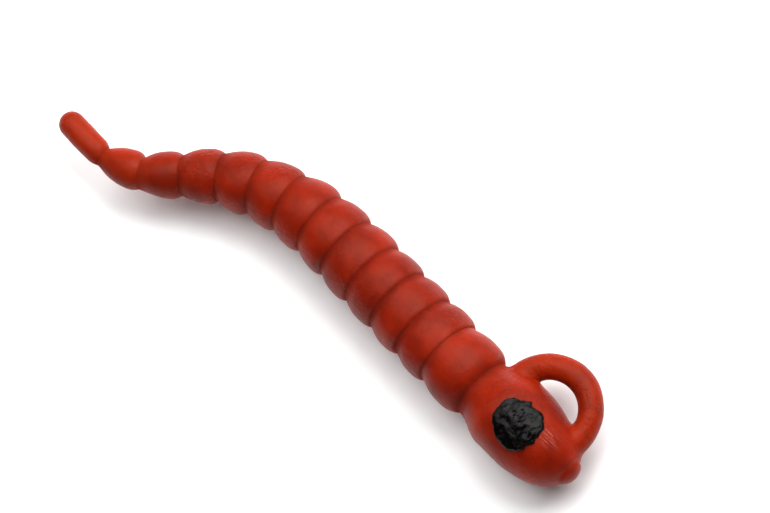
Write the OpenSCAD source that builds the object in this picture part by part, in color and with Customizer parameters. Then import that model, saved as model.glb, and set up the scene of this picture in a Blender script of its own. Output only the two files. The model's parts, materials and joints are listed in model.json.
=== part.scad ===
// A small soft fishing worm, lying on its side: +X towards the head, +Y towards its back.
// It is cast in one two-part mould, whose parting plane is level, at the height axis_z.
// Segments count from the head, and crease i lies on the head side of segment i.

/* [Body] */
// Diameter of the fattest segments
body_d = 5.1; // [4.8:0.05:5.2]
// Length of one segment, from crease to crease
pitch = 2.42; // [2.3:0.02:2.6]
// Length of the long segment behind the head
neck_segment_l = 3.15; // [2.8:0.05:3.4]
// Depth of a crease, as a share of the slimmer segment beside it
crease_depth = 0.13; // [0.08:0.01:0.15]
// Diameter of the neck
neck_d = 4; // [3.8:0.05:4.2]

/* [Tail] */
// Diameter of the tail tip
tail_d = 1.7; // [1.5:0.05:2.2]
// Length of the tail tip
tail_l = 3.9; // [3.4:0.1:4.2]
// How much longer each of the last three segments is than the one before
tail_stretch = 0.12; // [0:0.02:0.2]

/* [Moulded curve] */
// Heading of the front half of the body, in degrees from +X
front_heading = -10.5; // [-12:0.5:-6]
// Heading of the head, in degrees from +X
head_heading = -8.5; // [-12:0.5:-6]
// Rise of the arched back behind the front half, in degrees
arch = 42; // [30:1:45]
// How late the arch steepens, from 1 for an even curve
arch_power = 1.6; // [1:0.1:2]
// Bend at each of the last two creases, which flicks the tail up
tail_flick = 21; // [10:1:24]

/* [Head] */
// Diameter of the head
head_d = 5.4; // [5.2:0.05:5.6]
// Length of the head, from the neck to the end of its round front
head_l = 8.1; // [7.8:0.1:8.4]
// Distance from the neck to the widest place
head_widest_x = 2.8; // [2.6:0.1:3]
// Diameter of the round lip at the snout
lip_d = 2; // [1.6:0.1:2.1]
// How far the lip stands out of the snout
lip_out = 0.25; // [0.15:0.05:0.35]

/* [Eyes] */
// Diameter of an eye
eye_d = 3.25; // [3:0.05:3.4]
// Distance from the neck to the middle of the eyes
eye_x = 4; // [3.8:0.1:4.2]
// How far an eye stands out of the head
eye_out = 0.18; // [0.1:0.02:0.25]

/* [Loop] */
// Diameter of the loop, to the middle of its cord
loop_d = 5.4; // [5.2:0.1:5.6]
// Thickness of the loop's cord
loop_cord_d = 1.65; // [1.5:0.05:1.7]
// Middle of the loop: distance from the neck
loop_x = 4.05; // [3.9:0.05:4.2]
// Middle of the loop: distance from the head's axis towards the back
loop_y = 1.9; // [1.8:0.05:2]

/* [Flex] */
// How far each crease bends either way, in degrees
bend = 15; // [8:1:16]
// How far the loop swings either way, in degrees
loop_swing = 20; // [10:1:20]
// Clearance round a knuckle in its socket
running_gap = 0.05; // [0.03:0.01:0.08]

/* [Hidden] */
$fn = 64;
last = 13;
names = [for (i = [1:last - 1]) str("segment_", i < 10 ? "0" : "", i)];

body_colour = "#a32a17";
loop_colour = "#b83a22";
eye_colour = "#161211";

arch_from = 5;            // the front half ends with this segment
arch_to = 10;             // the arch is at its steepest from this segment on
taper_segments = 9;       // the body tapers over this many segments
flick_from = last - 2;    // the tail flicks up behind this segment
crown_steps = 12;         // facets along a segment's crown
crown_power = 0.8;        // 0.5 is a half ellipse, 1 is a parabola
head_steps = 14;          // facets along each half of the head
face_spare = 0.5;         // angle left at each face of a crease when it is fully bent
knuckle_r_share = 0.6;    // of the crease's radius
knuckle_h_share = 0.68;   // of the crease's diameter
shoulder_l = 1.3;         // from the last crease to the full width of the tail tip
tip_steps = 8;            // facets along each curve of the tail tip
eye_depth = 0.9;          // from the head's widest radius down to the floor of an eye's pocket
loop_seat = 0.2;          // from the loop's middle down to its hinge line
loop_pitch = -8;          // lean of the hinge line from the head's axis
flare = loop_swing + 4;   // lean of the sides of a slot in which the loop swings

head_r = head_d / 2;
head_rear_l = 4;          // half length of the ellipse behind the widest place
head_front_l = head_l - head_widest_x;
loop_r = loop_d / 2;
cord_r = loop_cord_d / 2;
loop_root = sqrt(loop_r * loop_r - loop_seat * loop_seat);
axis_z = head_r + eye_out;

function share(v) = max(0, min(1, v));
function mix(a, b, t) = a + (b - a) * t;
function along(a, l) = [l * cos(a), l * sin(a)];

function heading(i) =
    i == 0 ? head_heading
    : front_heading + arch * pow(share((i - arch_from) / (arch_to - arch_from)), arch_power)
        - tail_flick * max(0, i - flick_from);
function segment_l(i) =
    i == 1 ? neck_segment_l
    : i == last ? tail_l
    : pitch + tail_stretch * max(0, i - last + 4);
function bulge_r(i) =
    (tail_d + (body_d - tail_d) * sin(90 * share((last - i) / taper_segments))) / 2;
function crease_r(i) =
    i == 1 ? neck_d / 2 : (1 - crease_depth) * min(bulge_r(i - 1), bulge_r(i));
// lean of the two faces at a crease, so that they clear each other when it is bent
function face_lean(i) = bend / 2 + face_spare + abs(heading(i - 1) - heading(i)) / 2;

// places from the neck, before the whole is centred
function raw_crease(i) =
    i == 1 ? [0, 0] : raw_crease(i - 1) - along(heading(i - 1), segment_l(i - 1));
function raw_middle(i) = (raw_crease(i) + raw_crease(i + 1)) / 2;
function ellipse_reach(a, l, w) = sqrt(pow(l * cos(a), 2) + pow(w * sin(a), 2));

tail_end = raw_crease(last + 1) + along(heading(last), tail_d / 2);
lip_middle = head_l + lip_out - lip_d / 2;
widest = along(head_heading, head_widest_x);
low_x = tail_end[0] - tail_d / 2;
high_x = along(head_heading, lip_middle)[0] + lip_d / 2;
low_y = widest[1] - ellipse_reach(head_heading + 90, head_front_l, head_r);
high_y = max([for (i = [1:last]) raw_middle(i)[1] + bulge_r(i)]);
neck = -[(low_x + high_x) / 2, (low_y + high_y) / 2];

function head_profile_r(x) =
    head_r * sqrt(max(0, 1 - pow((x - head_widest_x)
        / (x < head_widest_x ? head_rear_l : head_front_l), 2)));
function crown_r(i, t) =
    mix(crease_r(i), crease_r(i + 1), t)
        + (bulge_r(i) - (crease_r(i) + crease_r(i + 1)) / 2)
        * pow(1 - pow(2 * t - 1, 2), crown_power);

// puts +X along a heading, with the origin at a place on the axis
module at(place, a) {
    translate([neck[0] + place[0], neck[1] + place[1], axis_z]) rotate([0, 0, a]) children();
}

module in_head() { at([0, 0], head_heading) children(); }

// turns an outline of [radius, distance along X] points round the X axis
module turned(points) { rotate([0, 90, 0]) rotate_extrude() polygon(points); }

module knuckle(i, gap) {
    half_h = crease_r(i) * knuckle_h_share + gap;
    at(raw_crease(i), heading(i - 1)) translate([0, 0, -half_h])
        cylinder(r = crease_r(i) * knuckle_r_share + gap, h = 2 * half_h);
}

// one crowned segment, whose end faces lean back from the middles of its creases
module barrel(i) {
    l = segment_l(i);
    front = bulge_r(i) * tan(face_lean(i)) / l;
    back = 1 - bulge_r(i) * tan(face_lean(i + 1)) / l;
    crown = [for (k = [0:crown_steps]) let (t = mix(front, back, k / crown_steps))
        [crown_r(i, t), -l * t]];
    at(raw_crease(i), heading(i)) turned(concat([[0, 0]], crown, [[0, -l]]));
}

module segment(i) {
    color(body_colour) difference() {
        union() {
            barrel(i);
            knuckle(i, 0);
        }
        knuckle(i + 1, running_gap);
    }
}

module tail_tip() {
    r = tail_d / 2;
    straight_l = tail_l - r;
    face = r * tan(face_lean(last));
    shoulder = [for (k = [0:tip_steps]) let (t = k / tip_steps)
        [mix(crease_r(last), r, sin(90 * t)), -mix(face, shoulder_l, t)]];
    round_end = [for (k = [0:tip_steps]) let (a = 90 * k / tip_steps)
        [r * cos(a), -straight_l - r * sin(a)]];
    color(body_colour) union() {
        at(raw_crease(last), heading(last)) turned(concat([[0, 0]], shoulder, round_end));
        knuckle(last, 0);
    }
}

// the head's outline turned round its axis, grown by an amount
module head_shape(grow) {
    face = neck_d / 2 * tan(face_lean(1));
    rear = [for (k = [0:head_steps]) let (x = mix(face, head_widest_x, k / head_steps))
        [head_profile_r(x) + grow, x]];
    front = [for (k = [1:head_steps]) let (a = 90 * k / head_steps)
        [(head_r + grow) * cos(a), head_widest_x + (head_front_l + grow) * sin(a)]];
    turned(concat([[0, 0]], rear, front));
}

// an eye's round plug, from the floor of its pocket outwards; side is 1 or -1
module eye_plug(side) {
    depth = head_r - eye_depth;
    translate([eye_x, 0, side > 0 ? depth : -depth - head_r]) cylinder(d = eye_d, h = head_r);
}

module eye(side) {
    color(eye_colour) in_head() intersection() {
        head_shape(eye_out);
        eye_plug(side);
    }
}

// the loop's own frame: origin at its middle, +X along its hinge line, +Y out of the head
module in_loop() {
    in_head() translate([loop_x, loop_y, 0]) rotate([0, 0, loop_pitch]) children();
}

// a round knuckle at each root, lying on the hinge line
module loop_knuckles(gap) {
    for (side = [-1, 1])
        translate([side * loop_root - cord_r - gap, -loop_seat, 0])
            rotate([0, 90, 0]) cylinder(r = cord_r + gap, h = 2 * (cord_r + gap));
}

// the room above each root in which the loop swings
module loop_slots() {
    w = cord_r + running_gap;
    h = 2 * cord_r;
    spread = w + h * tan(flare);
    for (side = [-1, 1])
        translate([side * loop_root - w, -loop_seat, 0]) rotate([90, 0, 90])
            linear_extrude(height = 2 * w) polygon([[0, -w], [h, -spread], [h, spread], [0, w]]);
}

module loop() {
    start = asin(-loop_seat / loop_r);
    color(loop_colour) in_loop() union() {
        rotate([0, 0, start]) rotate_extrude(angle = 180 - 2 * start)
            translate([loop_r, 0]) circle(r = cord_r);
        loop_knuckles(0);
    }
}

module head() {
    color(body_colour) difference() {
        union() {
            in_head() head_shape(0);
            in_head() translate([lip_middle, 0, 0]) sphere(d = lip_d);
        }
        knuckle(1, running_gap);
        in_head() eye_plug(1);
        in_head() eye_plug(-1);
        in_loop() loop_knuckles(running_gap);
        in_loop() loop_slots();
    }
}

head();
loop();
eye(1);  // eye_right
eye(-1);  // eye_left
for (i = [1:last - 1]) segment(i);
tail_tip();
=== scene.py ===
"""Looks for a soft fishing worm: one flexible moulding with a loop on its nape and two painted eyes."""

import json
import math

import bmesh
import bpy
from bpy.props import FloatProperty, FloatVectorProperty, IntProperty, PointerProperty
from bpy.types import Operator, Panel, PropertyGroup
from mathutils import Matrix, Vector, noise
from mathutils.bvhtree import BVHTree


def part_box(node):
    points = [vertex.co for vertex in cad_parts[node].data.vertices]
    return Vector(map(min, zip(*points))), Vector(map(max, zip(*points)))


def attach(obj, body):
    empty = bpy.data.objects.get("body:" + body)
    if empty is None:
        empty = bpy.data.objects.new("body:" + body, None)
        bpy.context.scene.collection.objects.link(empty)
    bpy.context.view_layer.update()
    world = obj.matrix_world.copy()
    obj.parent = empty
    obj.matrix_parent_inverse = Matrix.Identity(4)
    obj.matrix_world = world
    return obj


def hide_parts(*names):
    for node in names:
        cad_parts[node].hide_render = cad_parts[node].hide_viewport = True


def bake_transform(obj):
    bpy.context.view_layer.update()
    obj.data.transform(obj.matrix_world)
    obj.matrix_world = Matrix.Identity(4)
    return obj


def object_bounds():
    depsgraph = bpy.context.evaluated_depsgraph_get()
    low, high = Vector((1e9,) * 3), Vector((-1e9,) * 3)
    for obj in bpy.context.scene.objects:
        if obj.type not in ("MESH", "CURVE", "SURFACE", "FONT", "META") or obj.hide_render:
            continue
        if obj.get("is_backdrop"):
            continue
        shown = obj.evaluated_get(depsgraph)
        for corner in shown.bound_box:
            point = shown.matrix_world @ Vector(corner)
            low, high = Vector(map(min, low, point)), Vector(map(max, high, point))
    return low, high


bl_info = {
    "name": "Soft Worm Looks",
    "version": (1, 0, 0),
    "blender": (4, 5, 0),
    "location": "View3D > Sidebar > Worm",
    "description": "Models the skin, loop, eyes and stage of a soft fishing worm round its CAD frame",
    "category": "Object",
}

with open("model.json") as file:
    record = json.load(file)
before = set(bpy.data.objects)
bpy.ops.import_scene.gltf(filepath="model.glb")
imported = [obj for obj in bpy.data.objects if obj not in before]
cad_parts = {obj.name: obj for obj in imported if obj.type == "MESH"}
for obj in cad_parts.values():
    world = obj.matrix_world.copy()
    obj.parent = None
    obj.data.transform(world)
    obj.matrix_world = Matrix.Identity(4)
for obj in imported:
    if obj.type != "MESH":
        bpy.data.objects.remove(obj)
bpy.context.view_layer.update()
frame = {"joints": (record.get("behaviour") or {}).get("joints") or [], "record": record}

# Pieces are modelled in millimetres, and made metres when they are finished.
MM = 0.001
UP = Vector((0, 0, 1))
TURN = 2 * math.pi
MERGE = 1e-5  # distance within which two points are one


def linear(hex_colour):
    """A hex sRGB colour as linear red, green and blue."""
    parts = [int(hex_colour[i:i + 2], 16) / 255 for i in (1, 3, 5)]
    return tuple(c / 12.92 if c <= 0.04045 else ((c + 0.055) / 1.055) ** 2.4 for c in parts)


def mix(a, b, t):
    return a + (b - a) * t


def share(v):
    return min(1.0, max(0.0, v))


def ease(v):
    v = share(v)
    return v * v * (3 - 2 * v)


# ---------------------------------------------------------------- the frame, in millimetres

def mm_point(place):
    return Vector(place) / MM


def mm_box(node):
    low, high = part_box(node)
    return low / MM, high / MM


def heading_of(direction):
    return math.atan2(direction.y, direction.x)


def towards(angle):
    return Vector((math.cos(angle), math.sin(angle), 0))


def across(angle):
    return Vector((-math.sin(angle), math.cos(angle), 0))


BENDS = [j for j in frame["joints"] if j["name"].endswith("_bend")]
SWING = next(j for j in frame["joints"] if j["name"] == "loop_swing")
SNOUT = next(m for m in frame["record"]["mounts"] if m["name"] == "snout")

HEAD_HEADING = heading_of(Vector(SNOUT["axis"]))
NECK = mm_point(BENDS[0]["pos_m"])
HEAD_LENGTH = (mm_point(SNOUT["pos_m"]) - NECK).length
AXIS_Z = NECK.z


def tail_end():
    """Where the round end of the tail tip lies on its axis."""
    low, high = mm_box(BENDS[-1]["child"])
    r = (high.z - low.z) / 2
    middle = Vector((low.x + r, high.y - r, AXIS_Z))
    return middle + (middle - mm_point(BENDS[-1]["pos_m"])).normalized() * r


CREASES = [mm_point(j["pos_m"]) for j in BENDS] + [tail_end()]
CHORDS = [heading_of(a - b) for a, b in zip(CREASES, CREASES[1:])]
BULGES = [(mm_box(j["child"])[1].z - mm_box(j["child"])[0].z) / 2 for j in BENDS]


def crease_heading(i):
    """Heading of the worm where it crosses crease i."""
    before = HEAD_HEADING if i == 0 else CHORDS[i - 1]
    return (before + CHORDS[i]) / 2 if i < len(CHORDS) else CHORDS[-1]


def head_place(point):
    """A point's distances from the neck: along the head, towards its back and up."""
    d = point - NECK
    return d.dot(towards(HEAD_HEADING)), d.dot(across(HEAD_HEADING)), d.z


# ---------------------------------------------------------------- settings

class WormBody(PropertyGroup):
    crease_depth: FloatProperty(
        name="Crease Depth", description="Depth of a crease, as a share of the slimmer segment beside it",
        default=0.12, min=0.0, max=0.3, subtype="FACTOR")
    last_crease_depth: FloatProperty(
        name="Last Crease Depth", description="Depth of the crease before the tail tip, as a share of the tip",
        default=0.24, min=0.0, max=0.4, subtype="FACTOR")
    neck_radius: FloatProperty(
        name="Neck Radius", description="Radius at the crease behind the head, in millimetres",
        default=2.0, min=1.0)
    crown: FloatProperty(
        name="Crown", description="How full a segment is: 2 is a parabola, more is squarer",
        default=2.5, min=1.5, max=4.0)
    side_lift: FloatProperty(
        name="Side Lift", description="How much shallower a crease is on the two flat sides of the worm",
        default=0.68, min=0.0, max=1.0, subtype="FACTOR")
    soft_crease: FloatProperty(
        name="Soft Crease", description="How round the bottom of a crease is: 0 is a sharp valley",
        default=0.28, min=0.0, max=0.5)
    soft_neck: FloatProperty(
        name="Soft Neck", description="The same for the crease behind the head",
        default=0.6, min=0.0, max=1.0)
    skew_front: FloatProperty(
        name="Front Skew", description="How far the fattest place of a front segment leans to its head side",
        default=0.09, min=0.0, max=0.3, subtype="FACTOR")
    skew_tail: FloatProperty(
        name="Tail Skew", description="The same for the segments by the tail",
        default=0.12, min=0.0, max=0.3, subtype="FACTOR")
    bend_reach: FloatProperty(
        name="Bend Reach", description="Share of a segment over which it turns into each crease",
        default=0.5, min=0.1, max=0.5, subtype="FACTOR")
    lump: FloatProperty(
        name="Lump Height", description="Height of the moulding's gentle lumps, in millimetres",
        default=0.06, min=0.0, max=0.2)
    lump_size: FloatProperty(
        name="Lump Size", description="Width of the gentle lumps, in millimetres", default=1.9, min=0.5)
    pit: FloatProperty(
        name="Pit Height", description="Height of the fine unevenness, in millimetres",
        default=0.006, min=0.0, max=0.05)
    pit_size: FloatProperty(
        name="Pit Size", description="Width of the fine unevenness, in millimetres", default=0.35, min=0.05)
    turns: IntProperty(
        name="Faces Round", description="Faces round a segment", default=160, min=24)
    rings: IntProperty(
        name="Faces Along", description="Faces along a segment", default=48, min=12)


class WormHead(PropertyGroup):
    widest: FloatProperty(
        name="Widest Place", description="Distance from the neck to the widest place, in millimetres",
        default=2.8, min=1.0)
    radius: FloatProperty(
        name="Radius", description="Radius at the widest place, in millimetres", default=2.7, min=1.0)
    back_rise: FloatProperty(
        name="Back Rise", description="Length over which the back rises from the neck, in millimetres",
        default=2.7, min=0.5)
    belly_rise: FloatProperty(
        name="Belly Rise", description="The same for the belly", default=2.2, min=0.5)
    back_fullness: FloatProperty(
        name="Back Fullness", description="How blunt the front of the head is on its back: 2 is an ellipse",
        default=2.0, min=1.5, max=5.0)
    belly_fullness: FloatProperty(
        name="Belly Fullness", description="How blunt the front of the head is on its belly",
        default=2.9, min=1.5, max=5.0)
    mouth_depth: FloatProperty(
        name="Mouth Depth", description="Depth of the crease round the lip, in millimetres",
        default=0.09, min=0.0, max=0.4)
    mouth_x: FloatProperty(
        name="Mouth Place", description="Distance from the neck to the crease round the lip, in millimetres",
        default=7.92, min=5.0)
    lip_radius: FloatProperty(
        name="Lip Radius", description="Radius of the round lip at the snout, in millimetres",
        default=1.25, min=0.2)
    lip_out: FloatProperty(
        name="Lip Stand-out", description="How far the lip stands out of the snout, in millimetres",
        default=0.25, min=0.0)
    voxel: FloatProperty(
        name="Voxel", description="Size of the grid that fuses the head and loop, in millimetres",
        default=0.055, min=0.03)
    fillet: FloatProperty(
        name="Fillet", description="Reach of the fillet where the loop meets the head, in millimetres",
        default=0.55, min=0.1)
    split: FloatProperty(
        name="Loop Split", description="Height over the loop's hinge line where the loop parts from the head, "
        "in millimetres", default=1.1, min=0.5)


class WormEyes(PropertyGroup):
    thickness: FloatProperty(
        name="Paint Thickness", description="Thickness of the paint, in millimetres", default=0.17, min=0.02)
    ragged: FloatProperty(
        name="Ragged Rim", description="How uneven the rim of the paint is, as a share of its radius",
        default=0.09, min=0.0, max=0.3, subtype="FACTOR")
    chip: FloatProperty(
        name="Chip", description="Depth of the chip out of the right eye's rim, as a share of its radius",
        default=0.17, min=0.0, max=0.4, subtype="FACTOR")
    flake: FloatProperty(
        name="Flake Height", description="Height of the flakes on the paint, in millimetres",
        default=0.1, min=0.0)
    flake_size: FloatProperty(
        name="Flake Size", description="Width of a flake, in millimetres", default=0.36, min=0.05)


class WormColours(PropertyGroup):
    deep: FloatVectorProperty(
        name="Deep Red", description="Colour of the thick body", subtype="COLOR",
        default=linear("#8c1a02"), min=0, max=1)
    # The crease red is painted shade: a darker red put down in the creases, where shade falls.
    crease_shade: FloatVectorProperty(
        name="Crease Red", description="Colour down in the creases", subtype="COLOR",
        default=linear("#7c1502"), min=0, max=1)
    # The thin red is painted light: a lighter red that stands in for light shining through the thin tail and
    # loop.
    thin: FloatVectorProperty(
        name="Thin Red", description="Colour of the thin tail and loop", subtype="COLOR",
        default=linear("#942205"), min=0, max=1)
    paint: FloatVectorProperty(
        name="Eye Paint", description="Colour of the glossy black paint", subtype="COLOR",
        default=linear("#040303"), min=0, max=1)
    worn: FloatVectorProperty(
        name="Worn Paint", description="Colour of the dry, rubbed places on the paint", subtype="COLOR",
        default=linear("#35211f"), min=0, max=1)
    floor: FloatVectorProperty(
        name="Floor", description="Colour of the floor", subtype="COLOR",
        default=linear("#fafafa"), min=0, max=1)


class WormStage(PropertyGroup):
    tilt: FloatProperty(
        name="Camera Tilt", description="Lean of the camera from straight above", subtype="ANGLE",
        default=math.radians(19))
    bearing: FloatProperty(
        name="Camera Bearing", description="Direction in which the camera leans, from +X", subtype="ANGLE",
        default=math.radians(-8.4))
    roll: FloatProperty(
        name="Worm Slope", description="Slope of the worm's length across the picture", subtype="ANGLE",
        default=math.radians(-36.87))
    distance: FloatProperty(
        name="Camera Distance", description="Distance from the camera to the worm", unit="LENGTH",
        default=0.6, min=0.05)
    width: FloatProperty(
        name="Picture Width", description="Width that the camera sees at the worm", unit="LENGTH",
        default=0.04805, min=0.01)
    aim_right: FloatProperty(
        name="Aim Right", description="How far right of the worm's middle the camera aims", unit="LENGTH",
        default=0.003125)
    aim_up: FloatProperty(
        name="Aim Up", description="How far above the worm's middle the camera aims", unit="LENGTH",
        default=0.000783)


# ---------------------------------------------------------------- mesh tools

def spun(outline, turns):
    """A closed bmesh from an outline of (distance along X, radius), spun round the X axis."""
    bm = bmesh.new()
    verts = [bm.verts.new((x, r, 0)) for x, r in outline]
    edges = [bm.edges.new(pair) for pair in zip(verts, verts[1:])]
    bmesh.ops.spin(
        bm, geom=verts + edges, cent=(0, 0, 0), axis=(1, 0, 0), angle=TURN, steps=turns, use_merge=True)
    bmesh.ops.remove_doubles(bm, verts=bm.verts, dist=MERGE)
    bmesh.ops.recalc_face_normals(bm, faces=bm.faces)
    return bm


def finished(bm, name, material):
    """The bmesh as a smooth-shaded object in metres, at the origin."""
    for face in bm.faces:
        face.smooth = True
    bmesh.ops.scale(bm, vec=(MM, MM, MM), verts=bm.verts)
    mesh = bpy.data.meshes.new(name)
    bm.to_mesh(mesh)
    bm.free()
    mesh.materials.append(material)
    piece = bpy.data.objects.new(name, mesh)
    bpy.context.scene.collection.objects.link(piece)
    return piece


def fused(parts, voxel):
    """One bmesh from overlapping closed ones, joined through a voxel grid. It frees the parts."""
    source = bpy.data.meshes.new("fuse_source")
    whole = bmesh.new()
    for part in parts:
        part.to_mesh(source)
        part.free()
        whole.from_mesh(source)
    whole.to_mesh(source)
    whole.free()
    carrier = bpy.data.objects.new("fuse_carrier", source)
    bpy.context.scene.collection.objects.link(carrier)
    remesh = carrier.modifiers.new("Remesh", "REMESH")
    remesh.mode = "VOXEL"
    remesh.voxel_size = voxel
    shape = carrier.evaluated_get(bpy.context.evaluated_depsgraph_get())
    bm = bmesh.new()
    bm.from_mesh(shape.to_mesh())
    shape.to_mesh_clear()
    bpy.data.objects.remove(carrier)
    bpy.data.meshes.remove(source)
    return bm


def cut(bm, point, outward):
    """Cuts off what lies beyond a plane and closes the cut with a flat face. Returns its sharp rim's points."""
    bmesh.ops.bisect_plane(
        bm, geom=bm.verts[:] + bm.edges[:] + bm.faces[:], dist=1e-6,
        plane_co=point, plane_no=outward, clear_outer=True)
    rim = [e for e in bm.edges if e.is_boundary]
    for edge in rim:
        edge.smooth = False
    caps = bmesh.ops.holes_fill(bm, edges=rim, sides=0)["faces"]
    bmesh.ops.triangulate(bm, faces=caps)
    return [v for v in bm.verts if any(not e.smooth for e in v.link_edges)]


FINE_SHIFT = Vector((7.3, 1.9, 4.1))  # keeps the fine noise from following the broad one


def unevenness(point, settings):
    """How far the skin stands out at a point, from its gentle lumps and its fine unevenness."""
    broad = noise.noise(point / settings.lump_size)
    fine = noise.noise(point / settings.pit_size + FINE_SHIFT)
    return broad * settings.lump + fine * settings.pit


# ---------------------------------------------------------------- materials

# Sockets of a Mix node that mixes colours, by number, because its other types have the same names.
FACTOR, COLOUR_A, COLOUR_B, MIXED = 0, 6, 7, 2


def rgba(colour):
    return (*colour[:3], 1.0)


def add_node(tree, kind, settings=None, links=None, stops=()):
    """A node of one kind, with its settings and its inputs: a value, or a socket to link from. A colour ramp
    also gets its (position, colour) stops."""
    node = tree.nodes.new(kind)
    for key, value in (settings or {}).items():
        setattr(node, key, value)
    for key, value in (links or {}).items():
        socket = node.inputs[key]
        if isinstance(value, bpy.types.NodeSocket):
            tree.links.new(value, socket)
        else:
            socket.default_value = value
    if stops:
        elements = node.color_ramp.elements
        while len(elements) < len(stops):
            elements.new(1.0)
        for element, (position, colour) in zip(elements, stops):
            element.position = position
            element.color = rgba(colour)
    return node


def new_material(name):
    material = bpy.data.materials.new(name)
    material.use_nodes = True
    tree = material.node_tree
    tree.nodes.clear()
    return material, tree


def plastisol(colours):
    """Flexible PVC plastisol, cast in a polished mould: waxy, saturated and a little translucent, with a soft
    broad shine.
    Thin places get a painted lighter red for light through the thin skin, and creases a painted darker red for
    shade. The scales are in real millimetres."""
    material, tree = new_material("pvc_plastisol")
    place = add_node(tree, "ShaderNodeTexCoord").outputs["Object"]
    crest = add_node(tree, "ShaderNodeAttribute", {"attribute_name": "crest"}).outputs["Fac"]
    thin = add_node(tree, "ShaderNodeAttribute", {"attribute_name": "thin"}).outputs["Fac"]

    # cloudy pigment, 3 mm across
    cloud = add_node(tree, "ShaderNodeTexNoise", links={
        "Vector": place, "Scale": 1 / (3 * MM), "Detail": 4.0, "Roughness": 0.6}).outputs["Fac"]
    # Painted shade: the colour darkens to the crease red down in the creases, where crest is low.
    crease_shaded = add_node(tree, "ShaderNodeMix", {"data_type": "RGBA"}, {
        FACTOR: crest, COLOUR_A: rgba(colours.crease_shade), COLOUR_B: rgba(colours.deep)}).outputs[MIXED]
    # Painted light: the tail and the loop get a lighter red, for light shining through the thin skin.
    with_thin_glow = add_node(tree, "ShaderNodeMix", {"data_type": "RGBA"}, {
        FACTOR: thin, COLOUR_A: crease_shaded, COLOUR_B: rgba(colours.thin)}).outputs[MIXED]
    cloud_tint = add_node(tree, "ShaderNodeValToRGB", links={"Fac": cloud}, stops=[
        (0.32, linear("#b49a94")), (0.62, linear("#ffffff"))]).outputs["Color"]
    clouded = add_node(tree, "ShaderNodeMix", {"data_type": "RGBA", "blend_type": "MULTIPLY"}, {
        FACTOR: 0.8, COLOUR_A: with_thin_glow, COLOUR_B: cloud_tint}).outputs[MIXED]

    # specks of dirt, about a tenth of a millimetre across and half a millimetre apart
    specks = add_node(tree, "ShaderNodeTexVoronoi", links={
        "Vector": place, "Scale": 1 / (0.55 * MM)}).outputs["Distance"]
    speck_tint = add_node(tree, "ShaderNodeValToRGB", links={"Fac": specks}, stops=[
        (0.05, linear("#8a6a60")), (0.11, linear("#ffffff"))]).outputs["Color"]
    speckled = add_node(tree, "ShaderNodeMix", {"data_type": "RGBA", "blend_type": "MULTIPLY"}, {
        FACTOR: 0.6, COLOUR_A: clouded, COLOUR_B: speck_tint}).outputs[MIXED]

    # grain of the mould, a fifth of a millimetre across
    grain = add_node(tree, "ShaderNodeTexNoise", links={
        "Vector": place, "Scale": 1 / (0.2 * MM), "Detail": 6.0, "Roughness": 0.65}).outputs["Fac"]
    rough = add_node(tree, "ShaderNodeMapRange", links={
        "Value": grain, "To Min": 0.36, "To Max": 0.52}).outputs["Result"]
    bump = add_node(tree, "ShaderNodeBump", links={
        "Strength": 0.6, "Distance": 0.03 * MM, "Height": grain}).outputs["Normal"]

    # wrinkles half a millimetre apart, in patches 4 mm across
    patches = add_node(tree, "ShaderNodeTexNoise", links={
        "Vector": place, "Scale": 1 / (4 * MM), "Detail": 1.0}).outputs["Fac"]
    patch = add_node(tree, "ShaderNodeMapRange", links={
        "Value": patches, "From Min": 0.42, "From Max": 0.62, "To Min": 0.1, "To Max": 0.8}).outputs["Result"]
    wrinkles = add_node(tree, "ShaderNodeTexNoise", links={
        "Vector": place, "Scale": 1 / (0.5 * MM), "Detail": 5.0, "Distortion": 1.5}).outputs["Fac"]
    wrinkled = add_node(tree, "ShaderNodeBump", links={
        "Strength": patch, "Distance": 0.12 * MM, "Height": wrinkles, "Normal": bump}).outputs["Normal"]

    # drag marks of the mould along the head, a seventh of a millimetre apart, as bumps, with a painted
    # highlight along their ridges
    mark = add_node(tree, "ShaderNodeAttribute", {"attribute_name": "mark"}).outputs["Fac"]
    along = add_node(tree, "ShaderNodeMapping", {"vector_type": "TEXTURE"}, {
        "Vector": place, "Rotation": (0, 0, HEAD_HEADING), "Scale": (3 * MM, 0.14 * MM, 0.5 * MM)})
    marks = add_node(tree, "ShaderNodeTexNoise", links={
        "Vector": along.outputs["Vector"], "Scale": 1.0, "Detail": 2.0}).outputs["Fac"]
    marked = add_node(tree, "ShaderNodeBump", links={
        "Strength": mark, "Distance": 0.1 * MM, "Height": marks, "Normal": wrinkled}).outputs["Normal"]
    ridges = add_node(tree, "ShaderNodeMapRange", links={
        "Value": marks, "From Min": 0.48, "From Max": 0.64}).outputs["Result"]
    streak_highlight = add_node(tree, "ShaderNodeMath", {"operation": "MULTIPLY"}, {0: mark, 1: ridges}).outputs["Value"]
    # The pale colour on the ridges of the drag marks is a painted highlight.
    rubbed = add_node(tree, "ShaderNodeMix", {"data_type": "RGBA"}, {
        FACTOR: streak_highlight, COLOUR_A: speckled, COLOUR_B: rgba(linear("#c9786a"))}).outputs[MIXED]

    # duller down in the creases, where the mould was never polished
    duller = add_node(tree, "ShaderNodeMapRange", links={
        "Value": crest, "To Min": 0.4, "To Max": 0.0}).outputs["Result"]
    finish = add_node(tree, "ShaderNodeMath", {"operation": "ADD"}, {0: rough, 1: duller}).outputs["Value"]
    shader = add_node(tree, "ShaderNodeBsdfPrincipled", links={
        "Base Color": rubbed, "Roughness": finish, "Normal": marked,
        "IOR": 1.53, "Specular IOR Level": 0.14, "Specular Tint": rgba(linear("#ffd8c0")),
        "Subsurface Weight": 0.8, "Subsurface Radius": (1.0, 0.25, 0.1), "Subsurface Scale": 0.9 * MM})
    add_node(tree, "ShaderNodeOutputMaterial", links={"Surface": shader.outputs["BSDF"]})
    return material


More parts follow.
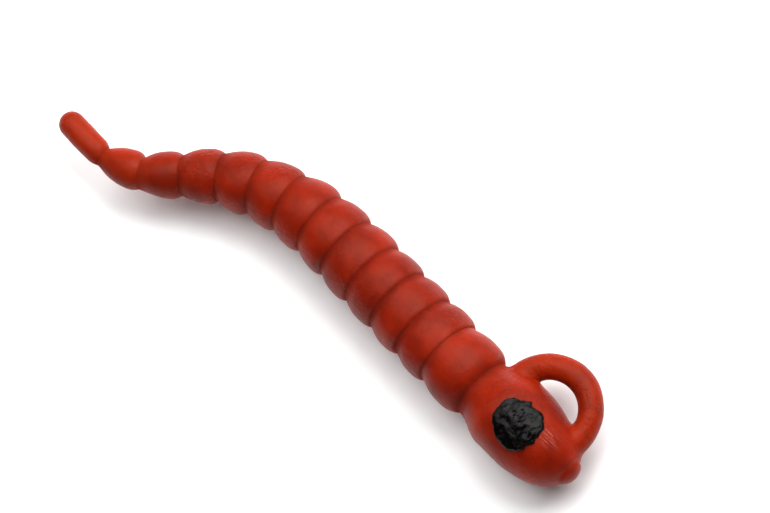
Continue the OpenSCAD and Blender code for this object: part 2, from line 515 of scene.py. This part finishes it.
def eye_paint(colours):
    """Thick brushed-on enamel, dried and flaking: near black and glossy, with dull worn places."""
    material, tree = new_material("flaking_enamel")
    place = add_node(tree, "ShaderNodeTexCoord").outputs["Object"]

    # worn places 0.7 mm across, and flakes half a millimetre across
    worn = add_node(tree, "ShaderNodeTexNoise", links={
        "Vector": place, "Scale": 1 / (0.7 * MM), "Detail": 6.0, "Roughness": 0.65, "Distortion": 0.6})
    flakes = add_node(tree, "ShaderNodeTexNoise", links={
        "Vector": place, "Scale": 1 / (0.5 * MM), "Detail": 4.0, "Roughness": 0.55, "Distortion": 0.8})
    colour = add_node(tree, "ShaderNodeValToRGB", links={"Fac": worn.outputs["Fac"]}, stops=[
        (0.54, colours.paint), (0.64, linear("#140d0e")), (0.76, colours.worn)]).outputs["Color"]
    rough = add_node(tree, "ShaderNodeMapRange", links={
        "Value": worn.outputs["Fac"], "From Min": 0.52, "From Max": 0.7,
        "To Min": 0.12, "To Max": 0.5}).outputs["Result"]
    bump = add_node(tree, "ShaderNodeBump", links={
        "Strength": 0.7, "Distance": 0.12 * MM, "Height": flakes.outputs["Fac"]}).outputs["Normal"]
    shader = add_node(tree, "ShaderNodeBsdfPrincipled", links={
        "Base Color": colour, "Roughness": rough, "Normal": bump, "IOR": 1.5, "Specular IOR Level": 0.08})
    add_node(tree, "ShaderNodeOutputMaterial", links={"Surface": shader.outputs["BSDF"]})
    return material


def white_board(colours):
    """Matt white card: pale and even, with a faint tooth."""
    material, tree = new_material("white_card")
    place = add_node(tree, "ShaderNodeTexCoord").outputs["Object"]

    # tooth of the card, 0.4 mm across
    tooth = add_node(tree, "ShaderNodeTexNoise", links={
        "Vector": place, "Scale": 1 / (0.4 * MM), "Detail": 3.0}).outputs["Fac"]
    bump = add_node(tree, "ShaderNodeBump", links={
        "Strength": 0.1, "Distance": 0.02 * MM, "Height": tooth}).outputs["Normal"]
    shader = add_node(tree, "ShaderNodeBsdfPrincipled", links={
        "Base Color": rgba(colours.floor), "Roughness": 0.9, "Normal": bump})
    add_node(tree, "ShaderNodeOutputMaterial", links={"Surface": shader.outputs["BSDF"]})
    return material


def skin_material():
    return bpy.data.materials.get("pvc_plastisol") or plastisol(bpy.context.scene.worm_colours)


# ---------------------------------------------------------------- body

CAP_RINGS = 4  # rings of faces on the flat end inside a crease
END = 1e-6  # how near to its end a point counts as on it, as a share of a segment's length
EDGE = 1e-4  # how near to the rim of its end a point counts as on it, in millimetres
CREST_GAIN = 1.4  # how soon the painted crease shade gives way up the side of a segment
CREST_NOISE = 0.3  # how uneven that is
CREST_NOISE_SIZE = 1.1  # the width of its unevenness, in millimetres
CREST_SHIFT = Vector((3.7, 8.2, 5.5))
THIN_FROM = -7  # which of the creases the painted light through the thin skin starts at, counted from the tail's end
TIP_SHOULDER = 0.75  # length of the tail tip's shoulder, as a share of its radius


def crease_radius(i, settings):
    if i == 0:
        return settings.neck_radius
    if i == len(BULGES) - 1:
        return (1 - settings.last_crease_depth) * BULGES[i]
    return (1 - settings.crease_depth) * min(BULGES[i - 1], BULGES[i])


def crease_drop(i, settings):
    """Depth of crease i below the slimmer segment beside it; the neck and the last crease are round."""
    if i == 0 or i >= len(BULGES) - 1:
        return 0.0
    return min(BULGES[i - 1], BULGES[i]) - crease_radius(i, settings)


def side_lift(i, s, r, z, settings):
    """How much shallower segment i is towards its nearer crease, on the two flat sides of the worm."""
    near = i if s < 0.5 else i + 1
    depth = share((BULGES[i] - r) / (BULGES[i] - crease_radius(near, settings)))
    return settings.side_lift * crease_drop(near, settings) * depth * (z / r) ** 2


def thinness(x):
    """How thin the worm is at a place along it: 1 at the tail's end, 0 in the body. It sets the painted light
    through the thin tail.
    """
    tail = CREASES[-1].x
    return ease(1 - (x - tail) / (CREASES[THIN_FROM].x - tail))


def segment_outline(i, settings):
    """A segment's outline, from the middle of its head-side crease to that of its tail-side crease, as
    (share of its length, radius)."""
    front = crease_radius(i, settings)
    back = crease_radius(i + 1, settings)
    lean = mix(settings.skew_front, settings.skew_tail, i / (len(BULGES) - 1))
    warp = math.log(0.5) / math.log(0.5 - lean)
    stand = BULGES[i] - (front + back) / 2
    outline = [(0, front * k / CAP_RINGS) for k in range(CAP_RINGS)]
    for k in range(settings.rings + 1):
        s = (1 - math.cos(math.pi * k / settings.rings)) / 2
        soft = settings.soft_neck if i == 0 and 2 * s ** warp < 1 else settings.soft_crease
        full = math.hypot(1 - abs(2 * s ** warp - 1) ** settings.crown, soft) - soft
        full /= math.hypot(1, soft) - soft
        outline.append((s, mix(front, back, s) + stand * full))
    return outline + [(1, back * k / CAP_RINGS) for k in reversed(range(CAP_RINGS))]


def tip_outline(settings):
    """The tail tip's outline: a shoulder at its crease, a straight side and a round end."""
    front = crease_radius(len(BULGES) - 1, settings)
    r = BULGES[-1]
    length = (CREASES[-2] - CREASES[-1]).length
    shoulder = TIP_SHOULDER * r
    shoulder_rings = settings.rings // 3
    side_rings = 8
    end_rings = settings.rings // 2
    outline = [(0, front * k / CAP_RINGS) for k in range(CAP_RINGS)]
    for k in range(shoulder_rings + 1):
        t = k / shoulder_rings
        outline.append((shoulder * t / length, mix(front, r, math.sin(math.pi / 2 * t))))
    for k in range(1, side_rings + 1):
        outline.append((mix(shoulder, length - r, k / side_rings) / length, r))
    for k in range(1, end_rings + 1):
        a = math.pi / 2 * k / end_rings
        outline.append(((length - r + r * math.sin(a)) / length, r * math.cos(a)))
    return outline


def bent(i, s, y, z, reach):
    """A point of segment i at share s of its length, on a section that turns into each crease."""
    centre = CREASES[i].lerp(CREASES[i + 1], s)
    into_front = max(0.0, 1 - s / reach) ** 2 * (crease_heading(i) - CHORDS[i])
    into_back = max(0.0, 1 - (1 - s) / reach) ** 2 * (crease_heading(i + 1) - CHORDS[i])
    return centre + across(CHORDS[i] + into_front + into_back) * y + UP * z


def body_piece(i, settings):
    """The skin of one segment or the tail tip, as a closed mesh that meets its neighbours in the creases."""
    last = i == len(BULGES) - 1
    outline = tip_outline(settings) if last else segment_outline(i, settings)
    bm = spun(outline, settings.turns)
    crest = bm.verts.layers.float.new("crest")
    thin = bm.verts.layers.float.new("thin")
    ends = [(0, crease_radius(i, settings))] + ([] if last else [(1, crease_radius(i + 1, settings))])
    low = min(r for _, r in ends)
    for edge in bm.edges:
        for s, r in ends:
            if all(abs(v.co.x - s) < END and abs(v.co.yz.length - r) < EDGE for v in edge.verts):
                edge.smooth = False
    for vert in bm.verts:
        s, y, z = vert.co
        r = math.hypot(y, z)
        in_front_cap = s < END and r < ends[0][1] - EDGE
        in_back_cap = not last and s > 1 - END and r < ends[-1][1] - EDGE
        base = bent(i, s, y, z, settings.bend_reach)
        # crest is 0 down in a crease and 1 up the side: it sets the painted crease shade, and the dullness.
        uneven = CREST_NOISE * noise.noise(base / CREST_NOISE_SIZE + CREST_SHIFT)
        up_the_side = (r - low) / (BULGES[i] - low) * CREST_GAIN
        vert[crest] = 1.0 if last and s > 0.5 else ease(up_the_side + uneven)
        vert[thin] = thinness(base.x)
        if r > 0 and not in_front_cap and not in_back_cap:
            lift = 0 if last else side_lift(i, s, r, z, settings)
            more = 1 + (unevenness(base, settings) + lift) / r
            base = bent(i, s, y * more, z * more, settings.bend_reach)
        vert.co = base
    return bm


class WORM_OT_body(Operator):
    """Model the skin of every segment and of the tail tip"""
    bl_idname = "worm.body"
    bl_label = "Body"

    def execute(self, context):
        settings = context.scene.worm_body
        for i, joint in enumerate(BENDS):
            name = joint["child"]
            piece = finished(body_piece(i, settings), name + "_skin", skin_material())
            along = towards(crease_heading(i))
            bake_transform(piece)
            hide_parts(name)
        return {"FINISHED"}


# ---------------------------------------------------------------- head and loop

HINGE = mm_point(SWING["pos_m"])
HINGE_ALONG = Vector(SWING["axis"]).normalized()
HINGE_OUT = UP.cross(HINGE_ALONG)

LOOP_LOW, LOOP_HIGH = mm_box("loop")
CORD = (LOOP_HIGH.z - LOOP_LOW.z) / 2
RING = (LOOP_HIGH.x - LOOP_LOW.x) / 2 - CORD
RING_MIDDLE = Vector((LOOP_HIGH.x - RING - CORD, LOOP_HIGH.y - RING - CORD, AXIS_Z))

# How the head is made. Lengths are in millimetres.
NECK_OVERLAP = 0.6  # how far it is built past the neck, where it is then cut
HEAD_RINGS = 64
HEAD_TURNS = 128
CORD_TURNS = 48
RING_TURNS = 160
SOFTEN_ALL = 3  # passes of smoothing that take off the steps of the voxel grid
SOFTEN_FILLETS = 8
MOUTH_WIDTH = 0.11
MOUTH_CURVE = 0.05  # how much the crease round the lip bows back towards the neck at its ends
MOUTH_CLEAR = 0.35  # distance from the loop within which the crease fades out
MOUTH_ON_BELLY = 0.2  # share of its depth that the crease keeps on the belly
MARK_PLACE = (5.95, 0.6)  # middle of the drag marks: along the head, and towards its back
MARK_SIZE = (0.55, 0.4)
MARK_STRENGTH = 0.6
NECK_SHADE = 0.8  # length over which the painted crease shade fades from the neck
LOOP_THIN_REACH = 0.5  # distance from the loop within which the skin gets the painted light of thin skin
LOOP_THIN = 0.8  # how strong that painted light is there: 1 is as strong as at the tail's end


def head_radius(x, belly, settings, neck):
    """The head's radius at a distance from its neck, which has the radius neck; belly runs from 0 on its back
    to 1 on its belly."""
    if x < settings.widest:
        rise = mix(settings.back_rise, settings.belly_rise, belly)
        return mix(neck, settings.radius, ease(x / rise))
    reach = (x - settings.widest) / (HEAD_LENGTH - settings.lip_out - settings.widest)
    fullness = mix(settings.back_fullness, settings.belly_fullness, belly)
    return settings.radius * math.sqrt(max(0.0, 1 - min(1.0, reach) ** fullness))


def belly_share(y, z):
    return (1 - y / math.hypot(y, z)) / 2 if y or z else 0.5


def head_mesh(settings, neck):
    nose = HEAD_LENGTH - settings.lip_out
    outline = [(-NECK_OVERLAP, 0)]
    for k in range(HEAD_RINGS + 1):
        outline.append((mix(-NECK_OVERLAP, settings.widest, k / HEAD_RINGS), 1))
    for k in range(1, HEAD_RINGS):
        outline.append((mix(settings.widest, nose, math.sin(math.pi / 2 * k / HEAD_RINGS)), 1))
    bm = spun(outline + [(nose, 0)], HEAD_TURNS)
    for vert in bm.verts:
        x, y, z = vert.co
        if y or z:
            r = head_radius(x, belly_share(y, z), settings, neck)
            vert.co = (x, y * r, z * r)
    place_in_head(bm)
    return bm


def place_in_head(bm):
    place = Matrix.Translation(NECK) @ Matrix.Rotation(HEAD_HEADING, 4, "Z")
    bmesh.ops.transform(bm, matrix=place, verts=bm.verts)


def lip_mesh(settings):
    bm = bmesh.new()
    bmesh.ops.create_icosphere(bm, subdivisions=5, radius=settings.lip_radius)
    bmesh.ops.translate(bm, vec=(HEAD_LENGTH - settings.lip_radius, 0, 0), verts=bm.verts)
    place_in_head(bm)
    return bm


def ring_mesh():
    bm = bmesh.new()
    turn = Matrix.Translation((RING, 0, 0)) @ Matrix.Rotation(math.pi / 2, 4, "X")
    section = bmesh.ops.create_circle(bm, segments=CORD_TURNS, radius=CORD, matrix=turn)["verts"]
    bmesh.ops.spin(
        bm, geom=section + bm.edges[:], cent=(0, 0, 0), axis=UP, angle=TURN, steps=RING_TURNS,
        use_merge=True)
    bmesh.ops.remove_doubles(bm, verts=bm.verts, dist=MERGE)
    bmesh.ops.recalc_face_normals(bm, faces=bm.faces)
    bmesh.ops.translate(bm, vec=RING_MIDDLE, verts=bm.verts)
    return bm


def ring_distance(point):
    """How far a point is outside the loop's ring."""
    d = point - RING_MIDDLE
    return math.hypot(math.hypot(d.x, d.y) - RING, d.z) - CORD


def head_distance(point, settings, neck):
    """About how far a point is outside the head, without its lip."""
    x, y, z = head_place(point)
    nose = HEAD_LENGTH - settings.lip_out
    radius = head_radius(min(x, nose), belly_share(y, z), settings, neck)
    return math.hypot(y, z) - radius + max(0.0, x - nose)


def fillet_lift(gap, reach):
    """How far a fillet lifts a skin that is a gap away from the other skin."""
    return max(0.0, 1 - max(0.0, gap) / reach) ** 2 * reach / 4


def soften(bm, verts, passes):
    for _ in range(passes):
        bmesh.ops.smooth_vert(
            bm, verts=verts, factor=0.5, use_axis_x=True, use_axis_y=True, use_axis_z=True)
    bm.normal_update()


def head_and_loop(settings, skin):
    """The head, its lip and the loop as one skin, with fillets where they meet."""
    neck = skin.neck_radius

    def gap(point):
        return max(ring_distance(point), head_distance(point, settings, neck))

    bm = fused([head_mesh(settings, neck), lip_mesh(settings), ring_mesh()], settings.voxel)
    soften(bm, bm.verts, SOFTEN_ALL)
    for vert in bm.verts:
        vert.co += vert.normal * fillet_lift(gap(vert.co), settings.fillet)
    soften(bm, [v for v in bm.verts if gap(v.co) < settings.fillet], SOFTEN_FILLETS)
    for vert in bm.verts:
        x, y, _ = head_place(vert.co)
        off = (x - settings.mouth_x + MOUTH_CURVE * y * y) / MOUTH_WIDTH
        groove = settings.mouth_depth * math.exp(-off * off) * ease(ring_distance(vert.co) / MOUTH_CLEAR)
        groove *= mix(MOUTH_ON_BELLY, 1, ease(y + 1))
        vert.co += vert.normal * (unevenness(vert.co, skin) - groove)
    return bm


def paint_layers(bm, crest_of, thin_of):
    """Stores what the plastisol reads at each point: its crest, for the painted crease shade and the dullness;
    how thin it is, for the painted light through thin skin; and the drag marks, as bumps with a painted
    highlight.
    """
    crest = bm.verts.layers.float.new("crest")
    thin = bm.verts.layers.float.new("thin")
    mark = bm.verts.layers.float.new("mark")
    for vert in bm.verts:
        x, y, _ = head_place(vert.co)
        along = (x - MARK_PLACE[0]) / MARK_SIZE[0]
        to_back = (y - MARK_PLACE[1]) / MARK_SIZE[1]
        vert[mark] = MARK_STRENGTH * math.exp(-along ** 2 - to_back ** 2)
        vert[crest] = crest_of(vert.co)
        vert[thin] = thin_of(vert.co)


class WORM_OT_head(Operator):
    """Model the head with its lip, and the loop on its nape"""
    bl_idname = "worm.head"
    bl_label = "Head and Loop"

    def execute(self, context):
        settings = context.scene.worm_head
        skin = context.scene.worm_body
        whole = head_and_loop(settings, skin)
        loop = whole.copy()
        parting = HINGE + HINGE_OUT * settings.split

        cut(whole, parting, HINGE_OUT)
        neck_out = -towards(crease_heading(0))
        rim = [v for v in cut(whole, NECK, neck_out) if abs((v.co - NECK).dot(neck_out)) < EDGE]
        for vert in rim:
            arm = vert.co - NECK
            r = crease_radius(0, skin)
            base = NECK + arm.normalized() * r
            vert.co = NECK + arm.normalized() * (r + unevenness(base, skin))
        cut(loop, parting, -HINGE_OUT)

        # Painted shade: the head is darker at the neck crease, fading along the head.
        def crest_of(point):
            x, _, _ = head_place(point)
            return ease(x / NECK_SHADE)

        # Painted light: the loop, and the head near it, get the lighter red of light through thin skin.
        def thin_of(point):
            return ease(1 - ring_distance(point) / LOOP_THIN_REACH) * LOOP_THIN

        def thin_of_head(point):
            return thin_of(point) * ease((point - HINGE).dot(HINGE_OUT) / settings.split)

        paint_layers(whole, crest_of, thin_of_head)
        paint_layers(loop, lambda p: 1.0, thin_of)
        head = finished(whole, "head_skin", skin_material())
        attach(head, "head")
        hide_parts("head")
        ring = finished(loop, "loop_skin", skin_material())
        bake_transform(ring)
        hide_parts("loop")
        return {"FINISHED"}


# ---------------------------------------------------------------- eyes

PAINT_RINGS = 40
PAINT_TURNS = 128
RIM_STEPS = 8  # faces round the edge of the paint
RIM_WIDTH = 0.05  # width of that round edge, as a share of the radius
CHIP_ANGLE = math.radians(82)  # where the rim is chipped, from +X towards +Y
CHIP_WIDTH = 0.2  # half the chip's width, in radians
BROAD_RIM, FINE_RIM = 1.3, 5  # how many waves the ragged rim has: a few broad ones, and finer ones
FINE_RIM_SHARE = 0.6
RIM_GAIN = 1.6
ABOVE_HEAD = 5  # how far over the head's middle the paint is dropped from, in millimetres
FLAKES_END = 1.3  # the flakes fade out from 0.3 to 1.3 times the radius


def eye_mesh(node, settings):
    """A thick patch of paint with a ragged rim, laid on the side of the head."""
    low, high = mm_box(node)
    middle = (low + high) / 2
    side = 1 if middle.z > AXIS_Z else -1
    radius = (high.x - low.x) / 2
    head = bpy.data.objects["head_skin"].data
    points = [v.co / MM for v in head.vertices]
    tree = BVHTree.FromPolygons(points, [p.vertices[:] for p in head.polygons])
    rim = settings.thickness
    outline = [(rim, 0)] + [(rim, radius * k / PAINT_RINGS) for k in range(1, PAINT_RINGS - 2)]
    for k in range(RIM_STEPS + 1):
        a = math.pi * k / RIM_STEPS
        outline.append((rim * math.cos(a), radius * (1 - RIM_WIDTH + RIM_WIDTH * math.sin(a))))
    outline += [(-rim, radius * k / 6) for k in (4, 2)] + [(-rim, 0)]
    bm = spun(outline, PAINT_TURNS)
    for vert in bm.verts:
        h, y, z = vert.co
        r = math.hypot(y, z)
        a = math.atan2(z, y)
        broad = noise.noise(Vector((math.cos(a) * BROAD_RIM, math.sin(a) * BROAD_RIM, side * 3.0)))
        fine = noise.noise(Vector((math.cos(a) * FINE_RIM, math.sin(a) * FINE_RIM, side * 5.0)))
        ragged = broad + FINE_RIM_SHARE * fine
        chip = settings.chip * math.exp(-((a - CHIP_ANGLE) / CHIP_WIDTH) ** 2) if side > 0 else 0
        out = r * (1 + settings.ragged * ragged * RIM_GAIN - chip)
        x = middle.x + out * math.cos(a)
        y = middle.y + out * math.sin(a)
        start = Vector((x, y, AXIS_Z + side * ABOVE_HEAD))
        hit = tree.ray_cast(start, Vector((0, 0, -side)))[0]
        surface = hit.z if hit else AXIS_Z
        flake = noise.noise(Vector((x, y, side * 2)) / settings.flake_size)
        lift = h + (flake * settings.flake if h > 0 else 0) * share(FLAKES_END - r / radius)
        vert.co = Vector((x, y, surface + side * lift))
    bmesh.ops.recalc_face_normals(bm, faces=bm.faces)
    return bm


class WORM_OT_eyes(Operator):
    """Model the two painted eyes"""
    bl_idname = "worm.eyes"
    bl_label = "Eyes"

    def execute(self, context):
        settings = context.scene.worm_eyes
        material = eye_paint(context.scene.worm_colours)
        for node in ("eye_right", "eye_left"):
            eye = finished(eye_mesh(node, settings), node + "_paint", material)
            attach(eye, "head")
            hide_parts(node)
        return {"FINISHED"}


# ---------------------------------------------------------------- stage

FLOOR_HALF = 1.5  # half the floor's side, in metres
SENSOR_WIDTH = 36  # in millimetres
NEAR_CLIP = 0.01  # in metres
WORLD_STRENGTH = 0.1

# Each lamp's name, size in metres, power in watts, and how far it hangs to the right of the worm, up the
# picture from it and above it, in metres.
LAMPS = (
    ("key", 0.26, 1.25, (0.13, 0.14, 0.22)),
    ("overhead", 0.3, 0.95, (-0.06, 0.08, 0.3)),
)


def area_light(name, size, energy, place, aim):
    light = bpy.data.lights.new(name, "AREA")
    light.shape = "DISK"
    light.size = size
    light.energy = energy
    lamp = bpy.data.objects.new(name, light)
    lamp.location = place
    lamp.rotation_euler = (place - aim).to_track_quat("Z", "Y").to_euler()
    bpy.context.scene.collection.objects.link(lamp)


class WORM_OT_stage(Operator):
    """Set up the floor, lights and camera"""
    bl_idname = "worm.stage"
    bl_label = "Stage"

    def execute(self, context):
        scene = context.scene
        settings = scene.worm_stage
        low, high = (Vector(c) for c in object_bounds())
        middle = (low + high) / 2

        bm = bmesh.new()
        bmesh.ops.create_grid(bm, x_segments=2, y_segments=2, size=FLOOR_HALF)
        floor_mesh = bpy.data.meshes.new("floor")
        bm.to_mesh(floor_mesh)
        bm.free()
        floor_mesh.materials.append(white_board(scene.worm_colours))
        floor = bpy.data.objects.new("floor", floor_mesh)
        scene.collection.objects.link(floor)
        floor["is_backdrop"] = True

        back = towards(settings.bearing) * math.sin(settings.tilt) + UP * math.cos(settings.tilt)
        picture_right = towards(-settings.roll)
        picture_up = across(-settings.roll)
        up = (picture_up - back * picture_up.dot(back)).normalized()
        right = up.cross(back)
        aim = middle + right * settings.aim_right + up * settings.aim_up
        place = aim + back * settings.distance
        camera_data = bpy.data.cameras.new("camera")
        camera_data.sensor_width = SENSOR_WIDTH
        camera_data.lens = camera_data.sensor_width * settings.distance / settings.width
        camera_data.clip_start = NEAR_CLIP
        camera = bpy.data.objects.new("camera", camera_data)
        camera.matrix_world = Matrix((
            (right.x, up.x, back.x, place.x), (right.y, up.y, back.y, place.y),
            (right.z, up.z, back.z, place.z), (0, 0, 0, 1)))
        scene.collection.objects.link(camera)
        scene.camera = camera

        world = bpy.data.worlds.new("studio")
        world.use_nodes = True
        background = world.node_tree.nodes["Background"]
        background.inputs["Color"].default_value = (1, 1, 1, 1)
        background.inputs["Strength"].default_value = WORLD_STRENGTH
        scene.world = world
        for name, size, power, (to_right, up_picture, above) in LAMPS:
            hung = middle + picture_right * to_right + picture_up * up_picture + UP * above
            area_light(name, size, power, hung, middle)
        scene.view_settings.view_transform = "Standard"
        return {"FINISHED"}


class WORM_PT_panel(Panel):
    """Lists the pieces and the stage"""
    bl_idname = "WORM_PT_panel"
    bl_label = "Soft Worm"
    bl_space_type = "VIEW_3D"
    bl_region_type = "UI"
    bl_category = "Worm"

    def draw(self, context):
        for operator in (WORM_OT_body, WORM_OT_head, WORM_OT_eyes, WORM_OT_stage):
            self.layout.operator(operator.bl_idname)
        for group in SETTINGS:
            box = self.layout.box()
            for key in SETTINGS[group].__annotations__:
                box.prop(getattr(context.scene, group), key)


SETTINGS = {
    "worm_body": WormBody,
    "worm_head": WormHead,
    "worm_eyes": WormEyes,
    "worm_colours": WormColours,
    "worm_stage": WormStage,
}
CLASSES = (*SETTINGS.values(), WORM_OT_body, WORM_OT_head, WORM_OT_eyes, WORM_OT_stage, WORM_PT_panel)


def register():
    for cls in CLASSES:
        bpy.utils.register_class(cls)
    for group, cls in SETTINGS.items():
        setattr(bpy.types.Scene, group, PointerProperty(type=cls))


def unregister():
    for group in SETTINGS:
        delattr(bpy.types.Scene, group)
    for cls in reversed(CLASSES):
        bpy.utils.unregister_class(cls)


def main():
    register()
    bpy.ops.worm.body()
    bpy.ops.worm.head()
    bpy.ops.worm.eyes()
    bpy.ops.worm.stage()


if __name__ == "__main__":
    main()
